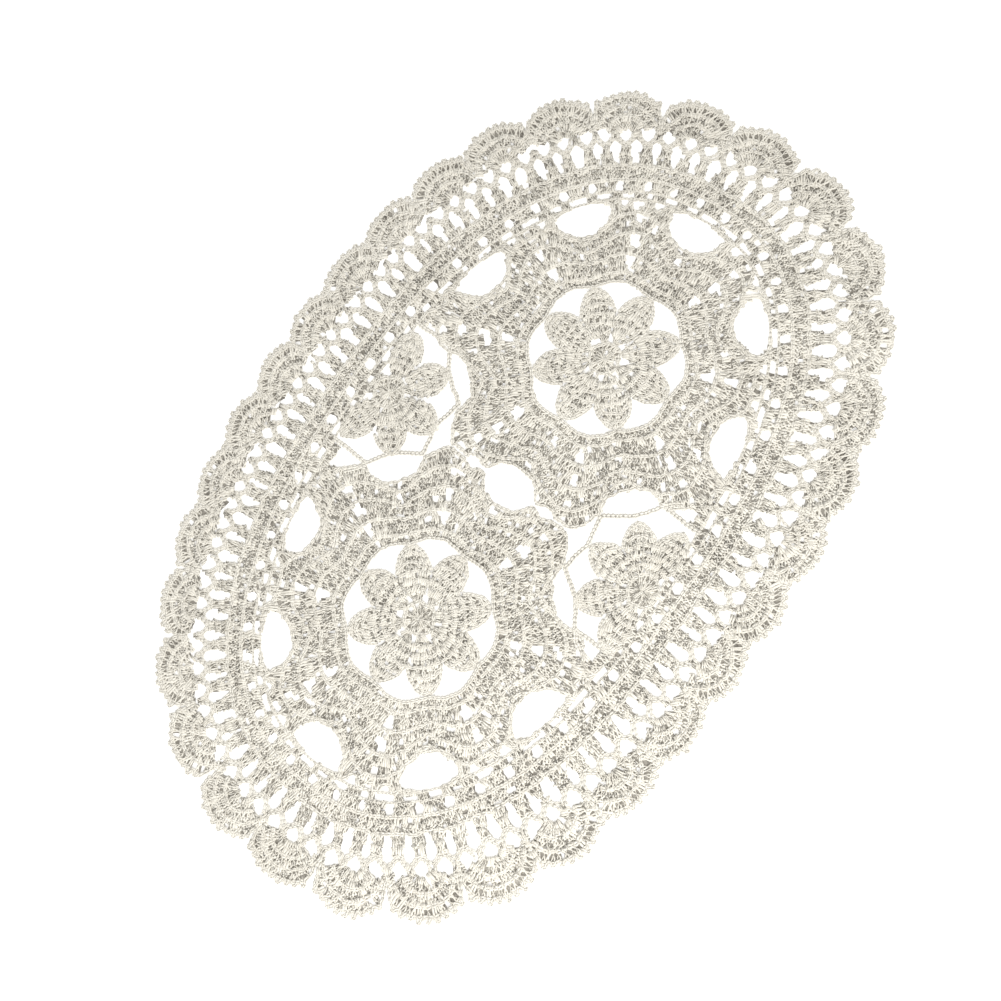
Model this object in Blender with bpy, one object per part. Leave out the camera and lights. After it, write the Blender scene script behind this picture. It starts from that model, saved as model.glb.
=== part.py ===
"""Oval crochet doily: one flat openwork sheet of cotton yarn, lying on a surface.

Two eight-petal medallions stand side by side on the long axis, each inside a star of chevron
rounds.  A small petal motif in a net of chain cords fills each long side, and an oval border
of rounds ends in scallops with a picot edge.  Units are metres, +Z is up and the long axis is
X.  The underside is flat at z = 0, and the origin is its middle.
"""

import bisect
import functools
import math

import bpy
from mathutils.geometry import delaunay_2d_cdt

# Overall size over the picot tips, and the thickness of the fabric.
LENGTH, WIDTH = 0.430, 0.288
GROOVE = 0.0013
GROUND = 0.0016
RIB = 0.0024
DOME = 0.0027

# The hand-worked mat lies a little out of true: waves round the edge, size, lead in degrees.
UNEVEN = (
    (0, 0.0011, 0),
    (1, 0.0028, 149),
    (2, 0.0016, 74),
    (3, 0.0019, 240),
    (4, 0.0021, 202),
)
# Brings the middle of the uneven mat's box back to the origin.
CENTRING = (0.00301, -0.00307)
# The outer rounds run ahead of even spacing by a share of one repeat, more at the +X end.
LEAD, LEAD_AT_END = 0.18, 0.21
LED_ROUNDS = 0.0370

# Border.  A depth is measured inwards from the oval through the picot tips.
BORDER_DEPTH = 0.054
FULLNESS = 2.25
EVEN_DEPTH = 0.030
FRAME_STEPS = 1440
REPEATS = 32
ARCHES_PER_SCALLOP = 3
PICOTS = 9
PICOT_HEIGHT = 0.0014
FAN_DEPTH = 0.0215
FAN_RIB = 0.0110
FAN_RIB_SPREAD = math.radians(48)
FAN_RIB_POINTS = 3
ROUND_RIB_POINTS = 72

# Gap outlines of the border rounds: depth, half width as a share of one stitch repeat.
LADDER_GAP = (
    (0.0360, 0.14),
    (0.0301, 0.27),
    (0.0257, 0.0),
)
ARCH_GAP = (
    (0.0263, 0.0),
    (0.0231, 0.30),
    (0.0198, 0.19),
)
MIDDLE_ARCH_SIZE = 1.2
EYELETS = 56
EYELET_GROUP = 7
SHUT_IN_GROUP = (1, 4)
EYELET_GAP = (
    (0.0510, 0.15),
    (0.0458, 0.18),
)
# Ribs and grooves of the solid rounds: depth, height.
ROUND_RIBS = (
    (0.0379, RIB),
    (0.0411, GROOVE),
    (0.0443, RIB),
)

# Medallions.
MEDALLION_X = 0.077
PETALS = 8
SECTOR = 360 / PETALS
STAR_POWER = 1.4
# Rounds of the star: radius in its valleys, radius at its arms.
STAR_EDGE = (0.0653, 0.0845)
STAR_RIBS = (
    # valley, arm, height, points a sector
    (0.0452, 0.0512, RIB, 4),
    (0.0484, 0.0548, GROOVE, 3),
    (0.0515, 0.0600, RIB, 4),
    (0.0546, 0.0655, GROOVE, 3),
    (0.0578, 0.0712, RIB, 4),
    (0.0606, 0.0762, GROOVE, 3),
)
ARM_GAP = (
    # radius, half width
    (0.0435, 0.0),
    (0.0462, 0.0024),
    (0.0497, 0.0),
)
# The gap between two petals: radius, angle off the middle of the gap.
PETAL_GAP = (
    (0.0230, 0.0),
    (0.0265, 5.6),
    (0.0315, 13.8),
)
ARCH_OVER_GAP = (
    (0.0362, 18.8),
    (0.0385, 8.5),
)
# Relief of a petal along its own middle: radius, height.
PETAL_RIDGE = (
    (0.0120, RIB),
    (0.0180, DOME),
    (0.0245, DOME),
    (0.0300, RIB),
)
PETAL_SEAM = (
    (0.0085, GROOVE),
    (0.0150, GROOVE),
)

# Large oval gaps between the arms of a star: how many sectors from the doily's end, the
# radius at the gap's inner end, and half its angle.
OVAL_HOLES = (
    (-2, 0.0650, 10.5),
    (-1, 0.0622, 11.3),
    (0, 0.0665, 10.5),
    (1, 0.0622, 11.3),
    (2, 0.0650, 10.5),
)
OVAL_STEPS = 4
BORDER_SIDE_SHARE = 0.93
EDGE_CORD = 0.0012
MIDDLE_HOLE_ANGLE = 9.3
MIDDLE_HOLE_STEPS = 3
# The small gap on each side of the middle one: distance from the long axis, half width.
JOIN_GAP = (
    (0.0185, 0.0),
    (0.0225, 0.0023),
    (0.0268, 0.0),
)

# Small motifs, measured from the motif's own centre, with +y towards the border.  The gaps in
# the net of cords are x and y rows for the +x side; the -x side is their mirror image.
MOTIF_Y = 0.0810
MOTIF_PETALS = (-168, -138, -90, -42, -12)
BETWEEN_PETALS_END = ((0.0152, -0.0342),)
BESIDE_PETALS_END = (
    (0.0341, 0.0016),
    (0.0346, -0.0130),
)
BELOW_CORDS = (
    (0.0170, -0.0362),
    (0.0243, -0.0241),
    (0.0345, -0.0164),
)
BELOW_STAR_ANGLES = (-9.0, -4.0, 1.0, 5.0)
SHOULDER_GAP = (
    (0.0363, 0.0016),
    (0.0368, -0.0127),
    (0.0408, -0.0080),
    (0.0418, 0.0005),
)
ABOVE_ARM_GAP = (
    (0.0510, -0.0010),
    (0.0570, -0.0045),
    (0.0602, -0.0020),
    (0.0590, 0.0018),
    (0.0520, 0.0036),
)
MIDDLE_NET_GAP = (
    (0.0, -0.0340),
    (0.0130, -0.0373),
    (0.0060, -0.0425),
    (0.0, -0.0455),
)


def polar(centre, radius, degrees):
    """The point at a radius and an angle from a centre."""
    angle = math.radians(degrees)
    return centre[0] + radius * math.cos(angle), centre[1] + radius * math.sin(angle)


@functools.lru_cache(maxsize=None)
def border_frame():
    """The border's inner edge, a full oval: points, outward normals and running lengths.

    The lengths are measured on the round at EVEN_DEPTH, where the stitches are evenly spaced.
    """
    half_length, half_width = LENGTH / 2 - BORDER_DEPTH, WIDTH / 2 - BORDER_DEPTH
    points, normals, even, lengths = [], [], [], [0.0]
    for step in range(FRAME_STEPS + 1):
        angle = math.tau * step / FRAME_STEPS
        across, up = math.cos(angle), math.sin(angle)
        x = math.copysign(abs(across) ** (2 / FULLNESS), across)
        y = math.copysign(abs(up) ** (2 / FULLNESS), up)
        slope_x = math.copysign(abs(x) ** (FULLNESS - 1), x) / half_length
        slope_y = math.copysign(abs(y) ** (FULLNESS - 1), y) / half_width
        size = math.hypot(slope_x, slope_y)
        points.append((half_length * x, half_width * y))
        normals.append((slope_x / size, slope_y / size))
        out = BORDER_DEPTH - EVEN_DEPTH
        even.append(tuple(p + n * out for p, n in zip(points[-1], normals[-1])))
        if step:
            lengths.append(lengths[-1] + math.dist(even[-2], even[-1]))
    return points, normals, lengths


def on_round(depth, turn):
    """The point of the border at a depth, at a share of the way round from the +X end."""
    points, normals, lengths = border_frame()
    if depth < LED_ROUNDS:
        turn += (LEAD + LEAD_AT_END * math.cos(math.tau * turn)) / REPEATS
    place = (turn % 1) * lengths[-1]
    index = min(bisect.bisect_right(lengths, place), len(lengths) - 1)
    share = (place - lengths[index - 1]) / (lengths[index] - lengths[index - 1])
    x, y = (a + (b - a) * share for a, b in zip(points[index - 1], points[index]))
    nx, ny = (a + (b - a) * share for a, b in zip(normals[index - 1], normals[index]))
    out = (BORDER_DEPTH - depth) / math.hypot(nx, ny)
    return x + nx * out, y + ny * out


def border_gap(table, place, repeats, scale=1.0):
    """A gap in a border round, from rows of depth and half width, as a closed outline."""
    right, left = [], []
    for depth, half in table:
        right.append(on_round(depth, (place + half * scale) / repeats))
        if half:
            left.append(on_round(depth, (place - half * scale) / repeats))
    return right + left[::-1]


def circle_crossing(first, second, radius):
    """Where two equal circles cross, on the side away from the doily's middle."""
    gap = math.dist(first, second)
    middle = ((first[0] + second[0]) / 2, (first[1] + second[1]) / 2)
    rise = math.sqrt(radius**2 - (gap / 2) ** 2)
    across = ((second[0] - first[0]) / gap, (second[1] - first[1]) / gap)
    return middle[0] + across[1] * rise, middle[1] - across[0] * rise


def scallop_centres():
    """The middle of each fan, counter-clockwise from the +X end."""
    return [on_round(FAN_DEPTH, (k + 0.5) / REPEATS) for k in range(REPEATS)]


def edge_outline():
    """The scalloped outline: each scallop an arc round its fan, notched into picots."""
    centres = scallop_centres()
    inner = FAN_DEPTH - PICOT_HEIGHT
    outline = []
    for k, centre in enumerate(centres):
        start = circle_crossing(centres[k - 1], centre, inner)
        end = circle_crossing(centre, centres[(k + 1) % REPEATS], inner)
        first = math.atan2(start[1] - centre[1], start[0] - centre[0])
        last = math.atan2(end[1] - centre[1], end[0] - centre[0])
        sweep = (last - first) % (math.tau)
        for step in range(2 * PICOTS):
            angle = math.degrees(first + sweep * step / (2 * PICOTS))
            outline.append(polar(centre, FAN_DEPTH if step % 2 else inner, angle))
    return outline


def fan_ribs():
    """A short raised arc over the fan of each scallop."""
    ribs = []
    for k, centre in enumerate(scallop_centres()):
        tip = on_round(0.0, (k + 0.5) / REPEATS)
        outward = math.atan2(tip[1] - centre[1], tip[0] - centre[0])
        rib = []
        for step in range(FAN_RIB_POINTS):
            lean = FAN_RIB_SPREAD * (2 * step / (FAN_RIB_POINTS - 1) - 1)
            rib.append(polar(centre, FAN_RIB, math.degrees(outward + lean)))
        ribs.append((rib, RIB, False))
    return ribs


def star_radius(degrees, valley, arm):
    """Radius of a star round at an angle from a valley."""
    wave = abs(math.sin(math.radians(degrees) * PETALS / 2)) ** STAR_POWER
    return valley + (arm - valley) * wave


def border_radius(centre, degrees):
    """Distance from a medallion's centre to the inner edge of the border, by bisection."""
    half_length, half_width = LENGTH / 2 - BORDER_DEPTH, WIDTH / 2 - BORDER_DEPTH
    near, far = 0.0, LENGTH
    for _ in range(40):
        middle = (near + far) / 2
        x, y = polar(centre, middle, degrees)
        outside = abs(x / half_length) ** FULLNESS + abs(y / half_width) ** FULLNESS > 1
        near, far = (near, middle) if outside else (middle, far)
    return near


def mirrored(rows):
    """A run of radius-and-angle rows with its mirror image, as one outline."""
    return list(rows) + [(radius, -angle) for radius, angle in reversed(rows) if angle]


def medallion_gaps(centre):
    """The gaps between petals and along the arms of one medallion."""
    gaps = []
    arm = [(radius, math.degrees(half / radius)) for radius, half in ARM_GAP]
    for k in range(PETALS):
        middle = SECTOR * (k + 0.5)
        for rows in (PETAL_GAP + ARCH_OVER_GAP, arm):
            gaps.append([polar(centre, r, middle + angle) for r, angle in mirrored(rows)])
    return gaps


def oval_hole(centre, middle, valley, half_angle):
    """A large gap between two arms: the star's edge inside, the border's edge outside."""
    outline = []
    for step in range(-OVAL_STEPS, OVAL_STEPS + 1):
        angle = half_angle * step / OVAL_STEPS
        radius = star_radius(angle, valley, STAR_EDGE[1])
        outline.append(polar(centre, radius, middle + angle))
    for step in range(OVAL_STEPS, -OVAL_STEPS - 1, -2):
        angle = BORDER_SIDE_SHARE * half_angle * step / OVAL_STEPS
        radius = border_radius(centre, middle + angle) - EDGE_CORD
        outline.append(polar(centre, radius, middle + angle))
    return outline


def middle_gaps():
    """The gap between the two medallions, and the small one on each side of it."""
    right = []
    for step in range(-MIDDLE_HOLE_STEPS, MIDDLE_HOLE_STEPS + 1):
        angle = MIDDLE_HOLE_ANGLE * step / MIDDLE_HOLE_STEPS
        right.append(polar((MEDALLION_X, 0.0), star_radius(angle, *STAR_EDGE), 180 - angle))
    gaps = [right + [(-x, -y) for x, y in right]]
    for flip in (1, -1):
        half = [(x, flip * y) for y, x in JOIN_GAP]
        gaps.append(half + [(-x, y) for x, y in reversed(half) if x])
    return gaps


def motif_net(side):
    """The gaps in the net of cords on one side of a small motif, from the motif's centre."""
    gaps = []
    ends = (BETWEEN_PETALS_END, BESIDE_PETALS_END)
    # Each of these gaps starts where two petals meet and runs up between them.
    for petal, end in zip((2, 3), ends):
        middle = (MOTIF_PETALS[petal] + MOTIF_PETALS[petal + 1]) / 2
        sides = [polar((0.0, 0.0), r, middle + angle) for r, angle in mirrored(PETAL_GAP)]
        count = len(PETAL_GAP)
        gaps.append(sides[:count] + list(end) + sides[count:])
    below = list(BELOW_CORDS)
    for angle in BELOW_STAR_ANGLES:
        x, y = polar((MEDALLION_X, 0.0), star_radius(angle, *STAR_EDGE), 135 + angle)
        below.append((x, y - MOTIF_Y))
    gaps += [below, SHOULDER_GAP, ABOVE_ARM_GAP]
    return [[(side * x, y) for x, y in gap] for gap in gaps]


def motif_gaps(flip):
    """Every gap in the net of cords round one small motif, placed on the doily."""
    middle = list(MIDDLE_NET_GAP)
    middle += [(-x, y) for x, y in reversed(MIDDLE_NET_GAP) if x]
    placed = motif_net(1) + motif_net(-1) + [middle]
    return [[(x, flip * (MOTIF_Y + y)) for x, y in gap] for gap in placed]


def all_gaps():
    """Every gap that is cut through."""
    gaps = []
    arches = REPEATS * ARCHES_PER_SCALLOP
    for k in range(arches):
        gaps.append(border_gap(LADDER_GAP, k, arches))
        scale = MIDDLE_ARCH_SIZE if k % ARCHES_PER_SCALLOP == 1 else 1.0
        gaps.append(border_gap(ARCH_GAP, k + 0.5, arches, scale))
    for k in range(EYELETS):
        if k % EYELET_GROUP not in SHUT_IN_GROUP:
            gaps.append(border_gap(EYELET_GAP, k + 0.5, EYELETS))
    for side in (1, -1):
        centre = (side * MEDALLION_X, 0.0)
        gaps += medallion_gaps(centre)
        outward = 0 if side == 1 else 180
        for sectors, valley, half_angle in OVAL_HOLES:
            gaps.append(oval_hole(centre, outward + sectors * SECTOR, valley, half_angle))
        gaps += motif_gaps(side)
    return gaps + middle_gaps()


def star_ribs(centre):
    """Ribs and grooves of the chevron rounds of one medallion."""
    ribs = []
    for valley, arm, height, count in STAR_RIBS:
        rib = []
        for step in range(count * PETALS):
            angle = 360 * step / (count * PETALS)
            rib.append(polar(centre, star_radius(angle, valley, arm), angle))
        ribs.append((rib, height, True))
    return ribs


def petal_relief(centre, angles, flip=1):
    """Ridge points down each petal, seams between petals, and the raised middle disc."""
    marks = [([centre], RIB, False)]
    for index, angle in enumerate(angles):
        for radius, height in PETAL_RIDGE:
            marks.append(([polar(centre, radius, flip * angle)], height, False))
        if index + 1 < len(angles) or len(angles) == PETALS:
            following = angles[(index + 1) % len(angles)]
            seam = angle + ((following - angle) % 360) / 2
            for radius, height in PETAL_SEAM:
                marks.append(([polar(centre, radius, flip * seam)], height, False))
    return marks


def all_relief():
    """Every raised or sunk line and point: points, height, closed."""
    relief = fan_ribs()
    for depth, height in ROUND_RIBS:
        rib = [on_round(depth, k / ROUND_RIB_POINTS) for k in range(ROUND_RIB_POINTS)]
        relief.append((rib, height, True))
    full = [SECTOR * k for k in range(PETALS)]
    for side in (1, -1):
        centre = (side * MEDALLION_X, 0.0)
        relief += star_ribs(centre)
        relief += petal_relief(centre, full)
        relief += petal_relief((0.0, side * MOTIF_Y), MOTIF_PETALS, side)
    return relief


def lie(point):
    """Where a point of the even chart lies in the slightly uneven fabric."""
    x, y = point
    turn = math.atan2(y / WIDTH, x / LENGTH)
    share = (2 * x / LENGTH) ** 2 + (2 * y / WIDTH) ** 2
    push = sum(
        size * math.cos(waves * turn - math.radians(lead)) for waves, size, lead in UNEVEN
    )
    stretch = 1 + share * push / max(math.hypot(x, y), EDGE_CORD)
    return x * stretch + CENTRING[0], y * stretch + CENTRING[1]


def counter_clockwise(loop):
    """The closed loop, turned round if it runs clockwise."""
    area = sum(a[0] * b[1] - b[0] * a[1] for a, b in zip(loop, loop[1:] + loop[:1]))
    return loop if area > 0 else loop[::-1]


def triangulated(outline, gaps, lines):
    """Plan triangles of the sheet, its points, and each point's index in the input."""
    points, faces, edges = [], [], []
    for loop in [outline] + gaps:
        faces.append(list(range(len(points), len(points) + len(loop))))
        points += [lie(point) for point in counter_clockwise(loop)]
    for line, closed in lines:
        first = len(points)
        points += [lie(point) for point in line]
        edges += [(first + i, first + i + 1) for i in range(len(line) - 1)]
        if closed:
            edges.append((first + len(line) - 1, first))
    only_inside = 1
    result = delaunay_2d_cdt(points, edges, faces, only_inside, 1e-7)
    plan, triangles, sources, owners = result[0], result[2], result[3], result[5]
    kept = [tri for tri, owner in zip(triangles, owners) if list(owner) == [0]]
    return plan, kept, [source[0] if source else None for source in sources]


def sheet_mesh(name):
    """The sheet: flat underside, straight cut walls, and a top face raised at its ribs."""
    outline, gaps, relief = edge_outline(), all_gaps(), all_relief()
    edge_count = len(outline) + sum(len(gap) for gap in gaps)
    heights = [GROUND] * edge_count
    for line, height, _ in relief:
        heights += [height] * len(line)
    lines = [(line, closed) for line, _, closed in relief]
    top_plan, top_faces, top_source = triangulated(outline, gaps, lines)
    low_plan, low_faces, low_source = triangulated(outline, gaps, [])

    vertices, faces = [], []
    top_of, low_of = {}, {}
    for index, point in enumerate(top_plan):
        source = top_source[index]
        top_of[source] = len(vertices)
        vertices.append((point[0], point[1], heights[source]))
    for index, point in enumerate(low_plan):
        low_of[low_source[index]] = len(vertices)
        vertices.append((point[0], point[1], 0.0))
    for face in top_faces:
        faces.append(tuple(top_of[top_source[i]] for i in face))
    for face in low_faces:
        faces.append(tuple(low_of[low_source[i]] for i in reversed(face)))
    # Walls close every free edge of the top face down to the underside.
    for start, end in free_edges(top_faces):
        first, second = top_source[start], top_source[end]
        faces.append((top_of[second], top_of[first], low_of[first], low_of[second]))
    mesh = bpy.data.meshes.new(name)
    mesh.from_pydata(vertices, [], faces)
    mesh.validate()
    return mesh


def free_edges(faces):
    """Edges that only one face uses, in that face's own direction."""
    directed = set()
    for face in faces:
        directed.update(zip(face, face[1:] + face[:1]))
    return [edge for edge in directed if (edge[1], edge[0]) not in directed]


def yarn_material(name):
    """Pale ecru cotton yarn, matt."""
    material = bpy.data.materials.new(name)
    material.use_nodes = True
    shader = material.node_tree.nodes["Principled BSDF"]
    shader.inputs["Base Color"].default_value = (0.68, 0.64, 0.55, 1.0)
    shader.inputs["Roughness"].default_value = 0.9
    shader.inputs["Metallic"].default_value = 0.0
    return material


for old in list(bpy.data.objects):
    bpy.data.objects.remove(old)

doily = bpy.data.objects.new("doily", sheet_mesh("doily"))
doily.data.materials.append(yarn_material("ecru cotton yarn"))
bpy.context.scene.collection.objects.link(doily)
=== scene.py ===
import math

import bpy
import numpy as np
from mathutils import Matrix, Vector


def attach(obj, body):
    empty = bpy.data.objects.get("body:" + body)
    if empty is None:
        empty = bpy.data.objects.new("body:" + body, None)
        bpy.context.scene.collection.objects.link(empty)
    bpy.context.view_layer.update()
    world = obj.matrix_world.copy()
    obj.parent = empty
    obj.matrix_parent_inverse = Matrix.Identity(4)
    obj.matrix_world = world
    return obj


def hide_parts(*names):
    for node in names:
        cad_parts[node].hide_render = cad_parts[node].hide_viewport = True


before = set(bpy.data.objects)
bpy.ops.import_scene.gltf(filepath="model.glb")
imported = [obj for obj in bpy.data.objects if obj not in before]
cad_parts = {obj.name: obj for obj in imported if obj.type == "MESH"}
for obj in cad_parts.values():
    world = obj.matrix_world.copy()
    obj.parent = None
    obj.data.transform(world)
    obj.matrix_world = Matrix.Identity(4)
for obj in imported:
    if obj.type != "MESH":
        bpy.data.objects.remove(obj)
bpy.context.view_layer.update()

# ----------------------------------------------------------------------
# Camera, table top and light.
# The mat lies flat on a plain pale table and is seen from above, leaning a little towards its
# near long side, with its long axis running up to the right.
# ----------------------------------------------------------------------
CAMERA_LEAN = math.radians(16.26)
MAT_TURN = math.radians(-1.2)
CAMERA_DISTANCE = 0.585
CAMERA_AIM = Vector((-0.0045, -0.0032, 0.0))
CAMERA_LENS, CAMERA_SENSOR = 43.8, 36.0
CAMERA_CLIP = (0.01, 50.0)
PICTURE_LONG = Vector((0.575, 0.818))
TABLE_SIZE = 6.0
TABLE_HEIGHT = -0.0002
TABLE_TONES = ((0.93, 0.925, 0.915, 1.0), (0.96, 0.96, 0.955, 1.0))
TABLE_CLOUD_SCALE = 6.0
TABLE_ROUGHNESS = 0.7
TABLE_GLOW = 0.35
ROOM_TONE = (1.0, 0.99, 0.975, 1.0)
ROOM_STRENGTH = 0.755
LAMPS = (
    # name, place, side, watts
    ("window", (-0.27, -0.50, 0.50), 0.6, 5.6),
    ("fill", (0.9, 0.5, 1.3), 1.2, 1.5),
)

long_way = Vector((math.cos(MAT_TURN), -math.sin(MAT_TURN), 0.0))
far_way = Vector((math.sin(MAT_TURN), math.cos(MAT_TURN), 0.0))
up_way = Vector((0.0, 0.0, 1.0))
back = math.cos(CAMERA_LEAN) * up_way - math.sin(CAMERA_LEAN) * far_way
above = math.cos(CAMERA_LEAN) * far_way + math.sin(CAMERA_LEAN) * up_way
right = PICTURE_LONG.x * long_way - PICTURE_LONG.y * above
upward = PICTURE_LONG.y * long_way + PICTURE_LONG.x * above

camera_data = bpy.data.cameras.new("camera")
camera_data.lens = CAMERA_LENS
camera_data.sensor_width = CAMERA_SENSOR
camera_data.clip_start, camera_data.clip_end = CAMERA_CLIP
camera = bpy.data.objects.new("camera", camera_data)
bpy.context.scene.collection.objects.link(camera)
place = Matrix((right.normalized(), upward.normalized(), back.normalized())).transposed().to_4x4()
place.translation = CAMERA_AIM + back * CAMERA_DISTANCE
camera.matrix_world = place
bpy.context.scene.camera = camera

bpy.ops.object.select_all(action="DESELECT")
bpy.ops.mesh.primitive_plane_add(size=TABLE_SIZE, location=(0.0, 0.0, TABLE_HEIGHT))
table_top = bpy.context.active_object
table_top.name = "table_top"
pale = bpy.data.materials.new("pale lacquer")
pale.use_nodes = True
pale_nodes, pale_links = pale.node_tree.nodes, pale.node_tree.links
pale_shader = pale_nodes["Principled BSDF"]
pale_place = pale_nodes.new("ShaderNodeTexCoord")
pale_cloud = pale_nodes.new("ShaderNodeTexNoise")
pale_cloud.inputs["Scale"].default_value = TABLE_CLOUD_SCALE
pale_tint = pale_nodes.new("ShaderNodeMix")
pale_tint.data_type = "RGBA"
pale_tint.inputs["A"].default_value, pale_tint.inputs["B"].default_value = TABLE_TONES
pale_links.new(pale_place.outputs["Object"], pale_cloud.inputs["Vector"])
pale_links.new(pale_cloud.outputs["Fac"], pale_tint.inputs["Factor"])
pale_links.new(pale_tint.outputs["Result"], pale_shader.inputs["Base Color"])
pale_shader.inputs["Roughness"].default_value = TABLE_ROUGHNESS
pale_shader.inputs["Emission Strength"].default_value = TABLE_GLOW
table_top.data.materials.append(pale)

bpy.context.scene.view_settings.view_transform = "Standard"
world = bpy.data.worlds.new("pale room")
bpy.context.scene.world = world
world.use_nodes = True
room = world.node_tree.nodes["Background"]
room.inputs["Color"].default_value = ROOM_TONE
room.inputs["Strength"].default_value = ROOM_STRENGTH
for lamp_name, lamp_place, lamp_side, watts in LAMPS:
    lamp_data = bpy.data.lights.new(lamp_name, "AREA")
    lamp_data.shape = "SQUARE"
    lamp_data.size = lamp_side
    lamp_data.energy = watts
    lamp = bpy.data.objects.new(lamp_name, lamp_data)
    bpy.context.scene.collection.objects.link(lamp)
    lamp.location = lamp_place
    lamp.rotation_euler = (-Vector(lamp_place)).to_track_quat("-Z", "Y").to_euler()

# ----------------------------------------------------------------------
# The yarn.
# Ecru crochet cotton, about 0.85 mm thick, matt, with a faint bloom of loose fibres.  The whole
# mat is worked from it, and nothing else is sewn on.
# ----------------------------------------------------------------------
YARN_TONES = ((0.80, 0.772, 0.695, 1.0), (0.68, 0.648, 0.572, 1.0))
DRIFT_SCALE, FLECK_SCALE, FIBRE_SCALE = 38.0, 900.0, 4200.0
DRIFT_DETAIL, FINE_DETAIL = 3.0, 2.0
DRIFT_SHARE, FLECK_SHARE = 0.55, 0.45
TONE_FROM, TONE_TO = 0.32, 0.68
RELIEF_STRENGTH, RELIEF_DEPTH = 0.35, 0.0001
YARN_ROUGHNESS = 0.85
SHEEN, SHEEN_ROUGHNESS = 0.2, 0.5


def yarn_group():
    """Colour and relief of the cotton: tone drifting over the mat, and fine fibres."""
    group = bpy.data.node_groups.new("cotton fibres", "ShaderNodeTree")
    face = group.interface
    face.new_socket("Vector", in_out="INPUT", socket_type="NodeSocketVector")
    face.new_socket("Light Tone", in_out="INPUT", socket_type="NodeSocketColor")
    face.new_socket("Dark Tone", in_out="INPUT", socket_type="NodeSocketColor")
    face.new_socket("Color", in_out="OUTPUT", socket_type="NodeSocketColor")
    face.new_socket("Height", in_out="OUTPUT", socket_type="NodeSocketFloat")
    nodes, links = group.nodes, group.links
    given = nodes.new("NodeGroupInput")
    made = nodes.new("NodeGroupOutput")
    drift, fleck, fibre = (nodes.new("ShaderNodeTexNoise") for _ in range(3))
    for texture, scale, detail in (
        (drift, DRIFT_SCALE, DRIFT_DETAIL),
        (fleck, FLECK_SCALE, FINE_DETAIL),
        (fibre, FIBRE_SCALE, FINE_DETAIL),
    ):
        texture.inputs["Scale"].default_value = scale
        texture.inputs["Detail"].default_value = detail
        links.new(given.outputs["Vector"], texture.inputs["Vector"])
    share = nodes.new("ShaderNodeMath")
    share.operation = "MULTIPLY_ADD"
    share.inputs[1].default_value = DRIFT_SHARE
    links.new(drift.outputs["Fac"], share.inputs[0])
    part = nodes.new("ShaderNodeMath")
    part.operation = "MULTIPLY"
    part.inputs[1].default_value = FLECK_SHARE
    links.new(fleck.outputs["Fac"], part.inputs[0])
    links.new(part.outputs["Value"], share.inputs[2])
    spread = nodes.new("ShaderNodeMapRange")
    spread.inputs["From Min"].default_value = TONE_FROM
    spread.inputs["From Max"].default_value = TONE_TO
    links.new(share.outputs["Value"], spread.inputs["Value"])
    tone = nodes.new("ShaderNodeMix")
    tone.data_type = "RGBA"
    links.new(spread.outputs["Result"], tone.inputs["Factor"])
    links.new(given.outputs["Dark Tone"], tone.inputs["A"])
    links.new(given.outputs["Light Tone"], tone.inputs["B"])
    links.new(tone.outputs["Result"], made.inputs["Color"])
    links.new(fibre.outputs["Fac"], made.inputs["Height"])
    return group


def yarn_material(name, light_tone, dark_tone):
    """The cotton as it shows: matt, softly uneven in tone."""
    material = bpy.data.materials.new(name)
    material.use_nodes = True
    nodes, links = material.node_tree.nodes, material.node_tree.links
    shader = nodes["Principled BSDF"]
    place = nodes.new("ShaderNodeTexCoord")
    cotton = nodes.new("ShaderNodeGroup")
    cotton.node_tree = fibres
    cotton.inputs["Light Tone"].default_value = light_tone
    cotton.inputs["Dark Tone"].default_value = dark_tone
    links.new(place.outputs["Object"], cotton.inputs["Vector"])
    links.new(cotton.outputs["Color"], shader.inputs["Base Color"])
    relief = nodes.new("ShaderNodeBump")
    relief.inputs["Strength"].default_value = RELIEF_STRENGTH
    relief.inputs["Distance"].default_value = RELIEF_DEPTH
    links.new(cotton.outputs["Height"], relief.inputs["Height"])
    links.new(relief.outputs["Normal"], shader.inputs["Normal"])
    shader.inputs["Roughness"].default_value = YARN_ROUGHNESS
    shader.inputs["Sheen Weight"].default_value = SHEEN
    shader.inputs["Sheen Roughness"].default_value = SHEEN_ROUGHNESS
    return material


fibres = yarn_group()
cotton_yarn = yarn_material("ecru cotton yarn", *YARN_TONES)

# ----------------------------------------------------------------------
# The stitches.
# A tall stitch is two strands, crossed or leaning side by side as a post; a loop is the pair of
# strands that lies along the top of every stitch and makes up every chain.  Each is modelled
# once, at its real size, and laid again and again with small differences, as a hand works it.
# ----------------------------------------------------------------------
STITCH_PITCH = 0.0021
STITCH_HEIGHT = 0.0028
STRAND = 0.00114
CROSS_PATHS = (
    # across, height, along: one strand over, one under
    ((-0.00050, 0.0, -0.00020), (-0.00050, 0.00014, 0.00065), (0.00052, 0.00018, 0.00215),
     (0.00052, 0.0, 0.00300)),
    ((0.00052, 0.0, -0.00020), (0.00052, 0.0, 0.00065), (-0.00050, -0.00012, 0.00215),
     (-0.00050, 0.0, 0.00300)),
)
CROSS_GIRTH = (1.12, 0.95, 0.95, 1.12)
CROSS_SIDES = 3
POST_PATHS = (
    # the same for the two strands of a post, which lean a little
    ((-0.00060, 0.0, -0.00020), (-0.00044, 0.00016, 0.00140), (-0.00040, -0.00006, 0.00305)),
    ((0.00040, -0.00008, -0.00020), (0.00052, 0.0, 0.00140), (0.00064, 0.0, 0.00305)),
)
POST_GIRTH = (1.0, 1.0, 1.0)
POST_SIDES = 4
STRAND_TURN = math.radians(36)
LOOP_PATH = (
    # across, height, along, as shares of the pitch
    (0.06, -0.14, -0.16),
    (0.27, 0.10, 0.42),
    (0.08, -0.08, 1.12),
)
LOOP_GIRTH = (0.9, 0.9, 0.9)
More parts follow.
